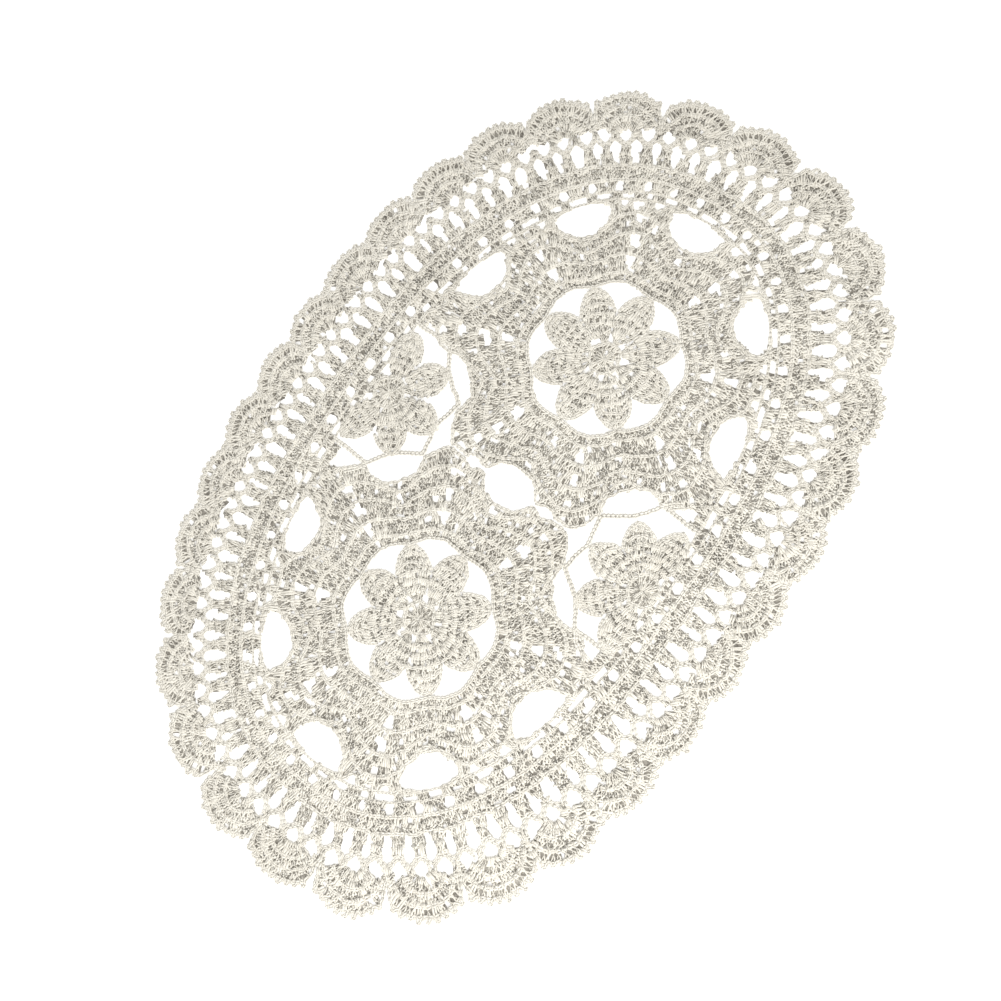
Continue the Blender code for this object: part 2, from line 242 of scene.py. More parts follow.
LOOP_SIDES = 3


def strand(name, path, girth, sides, turn=0.0):
    """A strand drawn along +Z through a path of points, and turned about itself as it goes."""
    bpy.ops.object.select_all(action="DESELECT")
    bpy.ops.mesh.primitive_circle_add(
        vertices=sides, radius=STRAND * girth[0] / 2, fill_type="NGON", location=path[0]
    )
    made = bpy.context.active_object
    made.name = name
    bpy.ops.object.transform_apply(location=True, rotation=True, scale=True)
    bpy.ops.object.mode_set(mode="EDIT")
    for here, there, was, now in zip(path, path[1:], girth, girth[1:]):
        step = [b - a for a, b in zip(here, there)]
        bpy.ops.mesh.extrude_region_move(TRANSFORM_OT_translate={"value": step})
        if now != was:
            bpy.ops.transform.resize(value=(now / was, now / was, 1.0), center_override=there)
        if turn:
            bpy.ops.transform.rotate(value=turn, orient_axis="Z", center_override=there)
    bpy.ops.mesh.select_all(action="DESELECT")
    bpy.ops.mesh.select_mode(type="EDGE")
    bpy.ops.mesh.select_non_manifold()
    bpy.ops.mesh.fill_holes(sides=sides)
    bpy.ops.mesh.select_all(action="SELECT")
    bpy.ops.mesh.normals_make_consistent(inside=False)
    bpy.ops.object.mode_set(mode="OBJECT")
    return made


def pattern(strands):
    """The modelled strands joined and laid down along +Y: points, corners and face sizes.

    The points and the faces are sorted, because Blender's order for them changes from run to run.
    """
    bpy.ops.object.select_all(action="DESELECT")
    for each in strands:
        each.select_set(True)
    bpy.context.view_layer.objects.active = strands[0]
    bpy.ops.object.join()
    joined = bpy.context.active_object
    mesh = joined.data
    points = np.array([vertex.co for vertex in mesh.vertices])
    order = np.lexsort(points.T)
    number = np.argsort(order)
    faces = sorted(number[list(face.vertices)].tolist() for face in mesh.polygons)
    bpy.data.objects.remove(joined)
    points = points[order][:, (0, 2, 1)] * (1, 1, -1)
    return points, np.concatenate(faces), np.array([len(face) for face in faces])


tall_stitches = tuple(
    pattern(
        [
            strand(
                "tall strand", [(side * x, -y, z) for x, y, z in path], girth, sides,
                side * STRAND_TURN,
            )
            for path in paths
        ]
    )
    for paths, girth, sides in (
        (CROSS_PATHS, CROSS_GIRTH, CROSS_SIDES), (POST_PATHS, POST_GIRTH, POST_SIDES)
    )
    for side in (1, -1)
)
loop = pattern(
    [
        strand(
            "loop strand",
            [
                (side * x * STITCH_PITCH, -y * STITCH_PITCH, z * STITCH_PITCH)
                for x, y, z in LOOP_PATH
            ],
            LOOP_GIRTH,
            LOOP_SIDES,
        )
        for side in (1, -1)
    ]
)

# ----------------------------------------------------------------------
# How the mat lies and is worked.
# It follows an even chart, drawn a little out of true.  Each row is hooked into the row before
# it, and each stitch strays a little, as in any hand work.  Low among the strands a row has its
# patches of a dark sheet of painted shade, a hair above or below those of the row before.
# ----------------------------------------------------------------------
LENGTH, WIDTH = 0.430, 0.288
UNEVEN = (
    # waves round the edge, size, lead in degrees
    (0, 0.0011, 0),
    (1, 0.0028, 149),
    (2, 0.0016, 74),
    (3, 0.0019, 240),
    (4, 0.0021, 202),
)
CENTRING = (0.00301, -0.00307)
LEAST_REACH = 0.0012
LEAST_RUN = 1e-6
STITCH_LIFT = 0.00088
LOOP_LIFT = 0.00104
FLOOR = 0.00002
# A stitch is made a little wider, and spreads to fill its place within these shares.
STITCH_WIDTH = 1.12
LEAST_SPREAD, MOST_SPREAD = 0.55, 1.08
# How far points stray, and how much widths and heights vary.
HAND = 0.00034
STITCH_WIDTH_HAND, LOOP_WIDTH_HAND = 0.10, 0.15
LIFT_HAND = 0.00014
HAND_SEED = 17
# The share of stitches that is left out, and how far those beside such a hole lean into it.
OPEN_SHARE = 0.05
OPEN_PULL = 0.14
# How far the courses of a row are staggered, and the share of stitches whose strands cross.
STAGGER = 0.25
CROSSED = 0.78
# How far the foot of a stitch reaches into the row before it, and how far that lifts it.
GRIP = 0.0007
GRIP_LIFT = 0.00012
# Where the dark sheet of painted shade lies: its height, a step between rows and the number of
# steps.
SHADE_WEB_HEIGHT = 0.00062
SHADE_WEB_STEP = 0.00001
SHADE_WEB_LEVELS = 17


def lie(points):
    """Where points of the even chart lie in the slightly uneven fabric."""
    x, y = points[..., 0], points[..., 1]
    turn = np.arctan2(y / WIDTH, x / LENGTH)
    share = (2 * x / LENGTH) ** 2 + (2 * y / WIDTH) ** 2
    push = sum(size * np.cos(waves * turn - math.radians(lead)) for waves, size, lead in UNEVEN)
    stretch = 1 + share * push / np.maximum(np.hypot(x, y), LEAST_REACH)
    return np.stack([x * stretch + CENTRING[0], y * stretch + CENTRING[1]], axis=-1)


# The patches of the dark sheet that paints the shade between the strands.
shade_web = []
fingers = np.random.default_rng(HAND_SEED)


def laid(work, shape, size, start, end, spread, lift):
    """Adds a copy of a modelled stitch from each start to each end point of the chart."""
    points, corners, sizes = shape
    spread = np.broadcast_to(np.transpose(spread), (2, len(start)))
    lift = np.broadcast_to(np.transpose(lift), (2, len(start)))
    run = end - start
    length = np.maximum(np.linalg.norm(run, axis=1), LEAST_RUN)
    aside = np.stack([run[:, 1], -run[:, 0]], axis=1) / length[:, None]
    along = points[None, :, 1] / size
    wide = spread[0][:, None] + (spread[1] - spread[0])[:, None] * along
    across = points[None, :, 0] * wide
    plan = start[:, None] + run[:, None] * along[..., None] + aside[:, None] * across[..., None]
    height = lift[0][:, None] + (lift[1] - lift[0])[:, None] * along + points[None, :, 2]
    work.append((np.concatenate([lie(plan), height[..., None]], axis=2), corners, sizes))


def hand(points, size=HAND):
    """The same points, each a little off, as in any hand work."""
    return points + fingers.normal(0.0, size, points.shape)


def chain(work, line, closed=False, spread=1.0, lift=LOOP_LIFT):
    """A chain of loops along a line of points, one loop from each point to the next."""
    line = hand(line, HAND / 2)
    ahead = np.roll(line, -1, axis=0) if closed else line[1:]
    here = line if closed else line[:-1]
    laid(work, loop, STITCH_PITCH, here, ahead, spread, lift)


def row(
    work, base, top, closed=False, keep=True, topped=True, swell=1.0, lift=0.0, grip=GRIP,
    open_share=OPEN_SHARE, crossed=CROSSED,
):
    """A row of stitches between two lines of points, with its loops along the top.

    It has as many courses as its height takes.  Keep and topped say where it has stitches and
    loops.  Under each stitch lies a patch of painted shade, apart from one that would fold over.
    """
    base, top = hand(base), hand(top)
    if closed:
        base, top = np.concatenate([base, base[:1]]), np.concatenate([top, top[:1]])
    count = len(base) - 1
    chosen, looped = np.broadcast_to(keep, count), np.broadcast_to(topped, count)
    height = np.linalg.norm(top - base, axis=1).mean()
    courses = max(1, round(float(height) / STITCH_HEIGHT))
    for course in range(courses):
        low, high = (base + (top - base) * step / courses for step in (course, course + 1))
        filled = chosen & (fingers.random(count) >= open_share)
        missing = (chosen & ~filled).astype(float)
        pull = np.append(0.0, missing[:-1]) - np.append(missing[1:], 0.0)
        shift = (STAGGER if course % 2 else -STAGGER) - OPEN_PULL * pull
        aside = shift[:, None] * np.diff(low, axis=0)
        feet = (low[1:] + low[:-1]) / 2 + aside
        heads = (high[1:] + high[:-1]) / 2 + aside
        widths = [np.linalg.norm(np.diff(edge, axis=0), axis=1) for edge in (low, high)]
        spread = np.clip(np.stack(widths, axis=1) / STITCH_PITCH, LEAST_SPREAD, MOST_SPREAD)
        spread = spread * swell * STITCH_WIDTH * fingers.normal(1.0, STITCH_WIDTH_HAND, (count, 1))
        lifts = STITCH_LIFT + lift + fingers.normal(0.0, LIFT_HAND, (count, 2))
        if course == 0 and grip:
            back = (feet - heads) / np.linalg.norm(heads - feet, axis=1)[:, None]
            feet = feet + grip * back
            lifts = lifts + (GRIP_LIFT, 0.0)
        feet, heads = hand(feet), hand(heads)
        kind = fingers.integers(0, 2, count) + 2 * (fingers.random(count) >= crossed)
        for number, shape in enumerate(tall_stitches):
            picked = filled & (kind == number)
            laid(
                work, shape, STITCH_HEIGHT, feet[picked], heads[picked], spread[picked],
                lifts[picked],
            )
        corners = np.stack([low[:-1], low[1:], high[1:], high[:-1]], axis=1)
        slant, back = corners[:, 2] - corners[:, 0], corners[:, 3] - corners[:, 1]
        turn = slant[:, 0] * back[:, 1] - slant[:, 1] * back[:, 0]
        corners = corners[filled & (turn * turn.sum() > 0)]
        level = SHADE_WEB_HEIGHT + SHADE_WEB_STEP * (len(shade_web) % SHADE_WEB_LEVELS)
        shade_web.append(np.concatenate([lie(corners), np.full(corners.shape[:2] + (1,), level)], axis=2))
    if looped.any():
        aside = fingers.normal(0.0, HAND / 2, (count, 2))
        laid(
            work, loop, STITCH_PITCH, (top[:-1] + aside)[looped], (top[1:] + aside)[looped],
            swell * fingers.normal(1.0, LOOP_WIDTH_HAND, (count, 1))[looped], LOOP_LIFT + lift,
        )


def worked(name, work):
    """Makes the laid stitches one mesh, which is a piece of the mat."""
    places, corners, sizes, first = [], [], [], 0
    for points, stitch_corners, stitch_sizes in work:
        copies, count = points.shape[0], points.shape[1]
        offsets = first + count * np.arange(copies)
        places.append(points.reshape(-1, 3))
        corners.append((stitch_corners[None] + offsets[:, None]).ravel())
        sizes.append(np.tile(stitch_sizes, copies))
        first += copies * count
    places, corners, sizes = np.concatenate(places), np.concatenate(corners), np.concatenate(sizes)
    places[:, 2] = np.maximum(places[:, 2], FLOOR)
    mesh = bpy.data.meshes.new(name)
    mesh.vertices.add(len(places))
    mesh.vertices.foreach_set("co", places.ravel())
    mesh.loops.add(len(corners))
    mesh.loops.foreach_set("vertex_index", corners)
    mesh.polygons.add(len(sizes))
    mesh.polygons.foreach_set("loop_start", np.cumsum(sizes) - sizes)
    mesh.polygons.foreach_set("use_smooth", np.ones(len(sizes), bool))
    mesh.update(calc_edges=True)
    mesh.materials.append(cotton_yarn)
    piece = bpy.data.objects.new(name, mesh)
    bpy.context.scene.collection.objects.link(piece)
    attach(piece, "root")
    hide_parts("doily")


# ----------------------------------------------------------------------
# The two medallions.
# Each is worked from its middle outwards: a disc of tall stitches, eight petals, a round of
# chain arches from petal tip to petal tip, and chevron rounds whose points make a star.
# ----------------------------------------------------------------------
MEDALLION_X = 0.077
PETALS = 8
SECTOR = 360 / PETALS
STAR_POWER = 1.4
MEET = 0.0013
BORDER_DEPTH = 0.054
FULLNESS = 2.25
BISECTIONS = 30
DISC_STITCHES = 20
DISC_RADII = (0.0012, 0.0078)
PETAL_HALF_WIDTH = (
    # radius, half width
    (0.0090, 0.0016),
    (0.0118, 0.0036),
    (0.0155, 0.0064),
    (0.0226, 0.0088),
    (0.0264, 0.0084),
    (0.0302, 0.0071),
    (0.0328, 0.0054),
    (0.0351, 0.0028),
)
PETAL_ROWS = (
    # radius of the base, radius of the top, stitches, lift
    (0.0090, 0.0136, 4, 0.00000),
    (0.0132, 0.0184, 6, 0.00015),
    (0.0180, 0.0232, 7, 0.00025),
    (0.0228, 0.0280, 7, 0.00020),
    (0.0276, 0.0322, 6, 0.00005),
    (0.0318, 0.0347, 4, 0.00000),
)
PETAL_FILL = 0.93
PETAL_BULGE = 0.10
PETAL_SWELL = 0.95
PETAL_CROSSED = 0.5
# The firm edge of a petal: the point of the outline where it starts, how far it lies inside the
# outline, across and along the petal, and its loops.
RIM_START = 3
RIM_INSET, RIM_BACK = 0.0003, 0.0002
RIM_LOOPS = 16
RIM_SPREAD, RIM_LIFT = 0.95, 0.0011
TIP_RADII = (0.0338, 0.0362)
# How far each medallion's flower sits off the chart; the star's rounds make it up by their edge.
FLOWER_OFF = {"right": (0.0005, -0.0007), "left": (0.0011, -0.0027)}
STAR_LINES = (
    # radius in a valley, radius at an arm, least distance to the border, stitches to the next
    # line in half a sector, half width of the hole in the arm above this line
    (0.0366, 0.0393, 0.020, 7, 0.0009),
    (0.0413, 0.0442, 0.020, 8, 0.0030),
    (0.0485, 0.0538, 0.016, 10, 0.0026),
    (0.0547, 0.0653, 0.0115, 12, 0.0024),
    (0.0608, 0.0754, 0.0062, 14, 0.0021),
    (0.0653, 0.0845, MEET, 0, 0.0),
)
# How far a star line keeps from the mat's middle: at least, and a share of its least distance
# to the border more.
MIDDLE_GAP, MIDDLE_GAP_SHARE = 0.0007, 0.45
# How far the outermost line moves in or out in the valleys, by sectors from the mat's end.  The
# two lines inside it move two thirds and one third as far.
VALLEY_SHIFT = {-2: -0.0003, -1: -0.0031, 0: 0.0012, 1: -0.0031, 2: -0.0003}
OVAL_HALF_ANGLE = {-2: 11.2, -1: 12.0, 0: 11.2, 1: 12.0, 2: 11.2}
OVAL_FULLNESS = 2.3
# The slit past each end of an oval hole: from and to, in degrees from the valley, and its depth.
END_SLIT = (13.4, 18.8)
END_SLIT_DEPTH = 0.0052
SLIT_ROUNDNESS = 0.7
OVAL_CORNER = 0.0034
OVAL_EXTRA = 0.0008
# The same for the hole between the two medallions.
MIDDLE_VALLEY = 0.0664
MIDDLE_HALF_ANGLE = 10.4
MIDDLE_SLIT = (13.4, 19.2)
MIDDLE_SLIT_DEPTH = 0.0026
# The stitches that round the corner between an oval hole and the border: where they start and
# end, as shares of the hole's half angle.
CORNER_FROM, CORNER_TO = 0.35, 1.03
CORNER_STITCHES = 5
# The round bays over the nets, by their side of the mat along x and along y: how far the valley
# moves, the least radius beside the bay, and its half angle towards the middle and the border.
BAY_SECTOR = 3
BAYS = {
    (1, 1): (0.0002, 0.0766, 9.2, 13.2),
    (1, -1): (0.0004, 0.0766, 9.2, 13.2),
    (-1, 1): (0.0015, 0.0788, 10.8, 11.4),
    (-1, -1): (0.0027, 0.0766, 9.2, 13.2),
}
ARCH_LOOPS = 7
ARCH_SPREAD, ARCH_LIFT = 1.05, 0.0014
OVER_SPREAD = 1.1
# The short stitches under a hole in an arm, if any: where their feet and their heads are, as
# shares of the row, how far they spread to each side there, and their lift.
ARM_FOOT = 0.02
ARM_FILLS = (0.0, 0.12, 0.30, 0.46, 0.46)
ARM_FOOT_HALF, ARM_HEAD_HALF = 0.0009, 0.0014
ARM_LIFT = -0.0001
# The share of stitches that is left out of each round of a star.
STAR_OPEN_SHARE = (0.03, 0.07, 0.11, 0.14, 0.14)
LINE_STEPS = 60
SEARCH_STEPS = 240


def polar(centre, radius, degrees):
    """Points at a radius and an angle from a centre."""
    angle = np.radians(degrees)
    return np.stack([centre[0] + radius * np.cos(angle), centre[1] + radius * np.sin(angle)], -1)


def star_radius(degrees, valley, arm):
    """Radius of a star line at an angle from a valley."""
    return valley + (arm - valley) * np.abs(np.sin(np.radians(degrees) * PETALS / 2)) ** STAR_POWER


def border_radius(centre, degrees):
    """Distance from a medallion's centre to the inner edge of the border, by bisection."""
    near, far = np.zeros_like(degrees), np.full_like(degrees, LENGTH)
    for _ in range(BISECTIONS):
        middle = (near + far) / 2
        spot = polar(centre, middle, degrees)
        outside = (
            np.abs(spot[..., 0] / (LENGTH / 2 - BORDER_DEPTH)) ** FULLNESS
            + np.abs(spot[..., 1] / (WIDTH / 2 - BORDER_DEPTH)) ** FULLNESS
        ) > 1
        near, far = np.where(outside, near, middle), np.where(outside, middle, far)
    return near


def star_line(centre, degrees, valley, arm, margin):
    """A star line over a range of angles, kept off the border and the other medallion."""
    radius = star_radius(degrees, valley, arm)
    radius = np.minimum(radius, border_radius(centre, degrees) - margin)
    spots = polar(centre, radius, degrees)
    side = math.copysign(1.0, centre[0])
    held = np.maximum(spots[:, 0] * side, MIDDLE_GAP + MIDDLE_GAP_SHARE * margin)
    return np.stack([held * side, spots[:, 1]], axis=1)


def round_hole(centre, lean, degrees, reach, valley, half_angle, corner, slit, slit_depth):
    """The last star line where it goes round half a round hole and the slit past its end.

    Lean is the angle from the valley, and reach is how far out the star goes there.  The hole's
    widest line is a corner further in, and the second line that is returned is the outer side of
    the hole.
    """
    share = np.clip(1 - (lean / half_angle) ** OVAL_FULLNESS, 0, 1) ** (1 / OVAL_FULLNESS)
    past = np.clip((lean - slit[0]) / (slit[1] - slit[0]), 0, 1)
    inner = np.where(lean < half_angle, corner + (reach - corner - valley) * share, 0.0)
    inner = inner + slit_depth * np.sin(np.pi * past) ** SLIT_ROUNDNESS
    outer = np.where(lean < half_angle, corner * (1 - share), corner)
    return polar(centre, reach - inner, degrees), polar(centre, reach - outer, degrees)


def spaced(line, shares):
    """Points at given shares of a line's length."""
    length = np.concatenate([[0.0], np.cumsum(np.linalg.norm(np.diff(line, axis=0), axis=1))])
    return np.stack([np.interp(np.asarray(shares) * length[-1], length, axis) for axis in line.T], 1)


def cord(work, line, **finish):
    """A chain along a path, with as many loops as fit."""
    length = float(np.linalg.norm(np.diff(line, axis=0), axis=1).sum())
    count = max(1, round(length / STITCH_PITCH))
    chain(work, spaced(line, np.linspace(0, 1, count + 1)), **finish)


def nearest_share(line, points):
    """The share of a line's length at the point of it that is nearest to each point."""
    fine = spaced(line, np.linspace(0, 1, SEARCH_STEPS + 1))
    gaps = np.linalg.norm(points[:, None] - fine[None], axis=2)
    return gaps.argmin(axis=1) / SEARCH_STEPS


def disc(work, centre):
    """The round of tall stitches in the middle of a flower."""
    around = np.arange(DISC_STITCHES) * 360 / DISC_STITCHES
    inner, outer = (polar(centre, radius, around) for radius in DISC_RADII)
    row(work, inner, outer, closed=True)


def petal(work, centre, degrees, shape=PETAL_HALF_WIDTH, size=1.0, limit=WIDTH):
    """One petal: rows of tall stitches that widen and close again, and a firm edge."""
    radii, halves = np.array(shape).T

    def spot(across, out):
        angle = math.radians(degrees)
        out = out * size
        return np.stack(
            [
                centre[0] + out * math.cos(angle) - across * math.sin(angle),
                centre[1] + out * math.sin(angle) + across * math.cos(angle),
            ],
            axis=-1,
        )

    for base_radius, top_radius, count, lift in PETAL_ROWS:
        share = np.linspace(-1, 1, count + 1)
        base_half = np.interp(base_radius, radii, halves) * PETAL_FILL
        top_half = np.interp(top_radius, radii, halves) * PETAL_FILL
        bulge = PETAL_BULGE * top_radius * top_half / halves.max()
        base = spot(share * base_half, base_radius - bulge * share**2)
        top = spot(share * top_half, top_radius - bulge * share**2)
        inside = np.abs((top[1:, 1] + top[:-1, 1]) / 2) < limit
        row(
            work, base, top, lift=lift, swell=PETAL_SWELL, keep=inside, topped=inside,
            crossed=PETAL_CROSSED,
        )
    rim_halves, rim_radii = halves[RIM_START:] - RIM_INSET, radii[RIM_START:] - RIM_BACK
    there = np.stack([rim_halves, rim_radii], axis=1)
    back = np.stack([-rim_halves, rim_radii], axis=1)[::-1]
    rim = spaced(np.concatenate([there, back]), np.linspace(0, 1, RIM_LOOPS + 1))
    edge = spot(rim[:, 0], rim[:, 1])
    chain(work, edge[np.abs(edge[:, 1]) < limit], spread=RIM_SPREAD, lift=RIM_LIFT)


def flower(centre, off):
    """The disc and petals of a medallion, as a list of laid stitches."""
    work = []
    centre = np.add(centre, off)
    disc(work, centre)
    for k in range(PETALS):
        petal(work, centre, SECTOR * k)
    for k in range(PETALS):
        chain(work, polar(centre, np.array(TIP_RADII), np.full(2, SECTOR * k)))
    return work


def star_lines(centre, centres, valley_angle, side, sectors_out):
    """The star lines of half a sector, and the sides of the corner beyond an oval hole, if any."""
    lean = np.linspace(0, SECTOR / 2, LINE_STEPS + 1)
    degrees = valley_angle + side * lean
    to_border = border_radius(centre, degrees) - MEET
    to_middle = MEDALLION_X - MEET
    valley, arm = STAR_LINES[-1][:2]
    shift = VALLEY_SHIFT.get(sectors_out, 0.0)
    if abs(sectors_out) == BAY_SECTOR:
        bay = (np.sign(centre[0]), np.sign(math.sin(math.radians(valley_angle))))
        shift, hold, *half_angles = BAYS[bay]
    moves = [0.0, 0.0, 0.0, shift / 3, 2 * shift / 3, shift]
    lines = [
        star_line(middle, degrees, line[0] + move, line[1], line[2])
        for middle, line, move in zip(centres, STAR_LINES, moves)
    ]
    corner = None
    if sectors_out in OVAL_HALF_ANGLE:
        half_angle = OVAL_HALF_ANGLE[sectors_out]
        lines[-1], far_side = round_hole(
            centre, lean, degrees, to_border, valley + shift - OVAL_EXTRA, half_angle,
            OVAL_CORNER, END_SLIT, END_SLIT_DEPTH,
        )
        first, last = (
            int(LINE_STEPS * half_angle * share * 2 / SECTOR) for share in (CORNER_FROM, 1)
        )
        shares = np.linspace(0, 1, CORNER_STITCHES + 1)
        angles = np.linspace(CORNER_FROM, CORNER_TO, CORNER_STITCHES + 1)
        angles = valley_angle + side * half_angle * angles
        rim = polar(centre, border_radius(centre, angles), angles)
        corner = (rim, spaced(far_side[first:last + 1], shares))
    if abs(sectors_out) == BAY_SECTOR:
        reach = np.maximum(star_radius(lean, valley, arm), hold)
        reach = np.minimum(reach, to_middle / np.abs(np.cos(np.radians(degrees))))
        lines[-1], _ = round_hole(
            centre, lean, degrees, reach.clip(0, to_border), valley + shift,
            half_angles[0 if side * sectors_out > 0 else 1], 0.0, MIDDLE_SLIT, 0.0,
        )
    if sectors_out == -PETALS // 2:
        lines[-1], _ = round_hole(
            centre, lean, degrees, to_middle / np.cos(np.radians(lean)), MIDDLE_VALLEY,
            MIDDLE_HALF_ANGLE, 0.0, MIDDLE_SLIT, MIDDLE_SLIT_DEPTH,
        )
    return lines, corner


def star(centre, off):
    """The arches and chevron rounds of a medallion, as a list of laid stitches."""
    work = []
    shares = np.linspace(1, 0, len(STAR_LINES))
    centres = [np.add(centre, np.multiply(off, share)) for share in shares]
    outward = 0 if centre[0] > 0 else PETALS // 2
    for half in range(2 * PETALS):
        valley_index = (half + 1) // 2
        side = 1 if half % 2 == 0 else -1
        sectors_out = (valley_index - outward + PETALS // 2) % PETALS - PETALS // 2
        lines, corner = star_lines(centre, centres, SECTOR * valley_index, side, sectors_out)
        if corner:
            row(work, *corner, grip=0.0, open_share=0.0)
        arch = spaced(lines[0], np.linspace(0, 1, ARCH_LOOPS + 1))
        chain(work, arch[::side], spread=ARCH_SPREAD, lift=ARCH_LIFT)
        for index, (_, _, _, count, hole) in enumerate(STAR_LINES[:-1]):
            inner, outer = lines[index], lines[index + 1]
            reach = 1 - hole / np.linalg.norm(np.diff(outer, axis=0), axis=1).sum()
            top = spaced(outer, np.linspace(0, reach, count + 1))
            base = spaced(inner, (np.linspace(0, 1, count + 1) + nearest_share(inner, top)) / 2)
            over = np.stack([top[-1], outer[-1]])
            row(
                work, base[::side], top[::side], grip=GRIP if index else 0.0,
                open_share=STAR_OPEN_SHARE[index],
            )
            chain(work, over[::side], spread=OVER_SPREAD)
            if side > 0 and ARM_FILLS[index]:
                rise = outer[-1] - inner[-1]
                beside = np.array([-rise[1], rise[0]]) / np.linalg.norm(rise)
                across = beside * np.array([[1.0], [0.0], [-1.0]])
                feet = inner[-1] + ARM_FOOT * rise + ARM_FOOT_HALF * across
                heads = inner[-1] + ARM_FILLS[index] * rise + ARM_HEAD_HALF * across
                row(work, feet, heads, lift=ARM_LIFT)
    return work


for side_name, side in (("right", 1), ("left", -1)):
    off = FLOWER_OFF[side_name]
    worked(side_name + "_flower", flower((side * MEDALLION_X, 0.0), off))
    worked(side_name + "_star", star((side * MEDALLION_X, 0.0), off))

# ----------------------------------------------------------------------
# The small motifs and their net.
# Half a flower fills the space on each long side: five petals round a small disc, flat against
# the border, held by single chains that zigzag down to the stars.
# ----------------------------------------------------------------------
MOTIF_Y = 0.0810
MOTIFS = (
    # name, side of the mat, centre, the way each petal points, size, and how far its net is off
    ("far_motif", 1, (0.0030, 0.0788), (-192, -140, -94, -40, 11), 0.91, 0.0035),
    ("near_motif", -1, (-0.0024, 0.0831), (-180, -133, -85, -41, 0), 0.95, 0.0),
)
MOTIF_LIMIT = 0.0905
MOTIF_PETAL = (
    # radius, half width
    (0.0090, 0.0022),
    (0.0120, 0.0046),
    (0.0160, 0.0070),
    (0.0226, 0.0085),
    (0.0264, 0.0078),
    (0.0302, 0.0060),
    (0.0328, 0.0038),
    (0.0345, 0.0014),
)
# The stitches that fill the room between a disc and the border: the least room for them, their
# feet's radius and angles, their pitch and how far from the border's edge they end.
ROOF_ROOM = 0.0030
ROOF_FOOT = 0.0080
ROOF_ANGLES = (60, 120)
ROOF_PITCH = 0.0032
ROOF_STITCHES = 5
ROOF_END = 0.0008
NET_CORDS = (
    # a path on the +x side, from the motif's own centre, with +y towards the border
    ((0.0352, 0.0075), (0.0350, 0.0010), (0.0353, -0.0080), (0.0357, -0.0143)),
    ((0.0357, -0.0143), (0.0392, -0.0112), (0.0418, -0.0070)),
    ((0.0357, -0.0143), (0.0296, -0.0182), (0.0238, -0.0226)),
    ((0.0240, -0.0222), (0.0194, -0.0290), (0.0150, -0.0356)),
    ((0.0150, -0.0356), (0.0080, -0.0344), (0.0000, -0.0326)),
)
# A net isn't off at all where it meets the stars, and is off in full this far inside.
NET_END_X, NET_EASE = 0.0418, 0.0061
NET_SPREAD, NET_LIFT = 1.35, 0.0010
ARM_TIP_ROWS = (
    # base from, base to, top from, top to, stitches: where a star's arm meets the border
    ((0.0425, -0.0035), (0.0500, -0.0035), (0.0425, 0.0055), (0.0508, 0.0050), 4),
    ((0.0365, 0.0020), (0.0425, 0.0020), (0.0365, 0.0068), (0.0425, 0.0060), 3),
    ((0.0515, 0.0028), (0.0600, 0.0018), (0.0515, 0.0048), (0.0605, 0.0032), 4),
)


def small_motif(flip, middle, petals, size, net_off):
    """Half a flower and its net of chains, as a list of laid stitches."""
    work = []
    centre = (middle[0], flip * middle[1])
    disc(work, centre)
    for degrees in petals:
        petal(work, centre, flip * degrees, MOTIF_PETAL, size, MOTIF_LIMIT)
    if middle[1] + DISC_RADII[1] < MOTIF_LIMIT - ROOF_ROOM:
        over = np.linspace(*ROOF_ANGLES, ROOF_STITCHES + 1) * flip
        steps = np.linspace(ROOF_STITCHES, -ROOF_STITCHES, ROOF_STITCHES + 1)
        roof_x = centre[0] + ROOF_PITCH / 2 * steps
        roof = np.stack([roof_x, np.full_like(roof_x, flip * (MOTIF_LIMIT - ROOF_END))], axis=1)
        row(work, polar(centre, ROOF_FOOT, over), roof, topped=False)

    def spot(path, side):
        path = np.asarray(path, float)
        loose = np.clip((NET_END_X - path[:, 0]) / NET_EASE, 0, 1)
        return np.stack(
            [side * path[:, 0] + net_off * loose, flip * (MOTIF_Y + path[:, 1])], axis=1
        )

    for side in (1, -1):
        for path in NET_CORDS:
            cord(work, spot(path, side), spread=NET_SPREAD, lift=NET_LIFT)
        for first, last, top_first, top_last, count in ARM_TIP_ROWS:
            base = np.linspace(first, last, count + 1)
            top = np.linspace(top_first, top_last, count + 1)
            row(work, spot(base, side), spot(top, side), topped=False)
    return work


for motif_name, *motif in MOTIFS:
    worked(motif_name, small_motif(*motif))

# ----------------------------------------------------------------------
# Border: solid and open rounds.
# Worked round both medallions: two edge cords joined by short groups with slits between them, a
# round of stitches with eyelets, a solid round, and tall groups that lean together under chain
# arches.
# ----------------------------------------------------------------------
FRAME_STEPS = 1440
REPEATS = 32
# The depth from the edge at which what repeats is spaced evenly.
EVEN_DEPTH = 0.030
# How far the rounds outside a depth run ahead of the inner ones, as shares of a scallop: at the
# long sides, and how much more at the +X end.
LEAD, LEAD_AT_END = 0.18, 0.21
LED_ROUNDS = 0.0370
SMALL_GRIP = 0.0003
BORDER_SWELL = 1.08
EDGE_DEPTHS = (0.0550, 0.0512)
EDGE_LOOPS = 372
EDGE_SPREAD, EDGE_LIFT = 0.75, 0.0009
# The groups that join the edge cords: where they are, how far they stray, and their half width
# from and to, which is more beside a small motif, all as shares of their pitch.
JOINS = 64
JOIN_DEPTHS = (0.0546, 0.0518)
JOIN_MIDDLE_DEPTH = 0.0530
JOIN_LEAD, JOIN_HAND = 0.3, 0.18
JOIN_HALF, WIDE_JOIN_HALF = (0.10, 0.32), (0.28, 0.44)
JOIN_STITCHES = 3
BESIDE_MOTIF = 0.040
EYELETS = 56
EYELET_LINES = (
    # depth, half width of the group between two eyelets as a share of their pitch
    (0.0510, 0.40),
    (0.0483, 0.33),
    (0.0454, 0.39),
)
EYELET_STITCHES = 5
CORD_DEPTH, CORD_LOOPS, CORD_SPREAD = 0.0449, 404, 1.1
SOLID_DEPTHS = (0.0446, 0.0376)
SOLID_STITCHES = 384
SOLID_SWELL = 1.07
ARCHES = REPEATS * 3
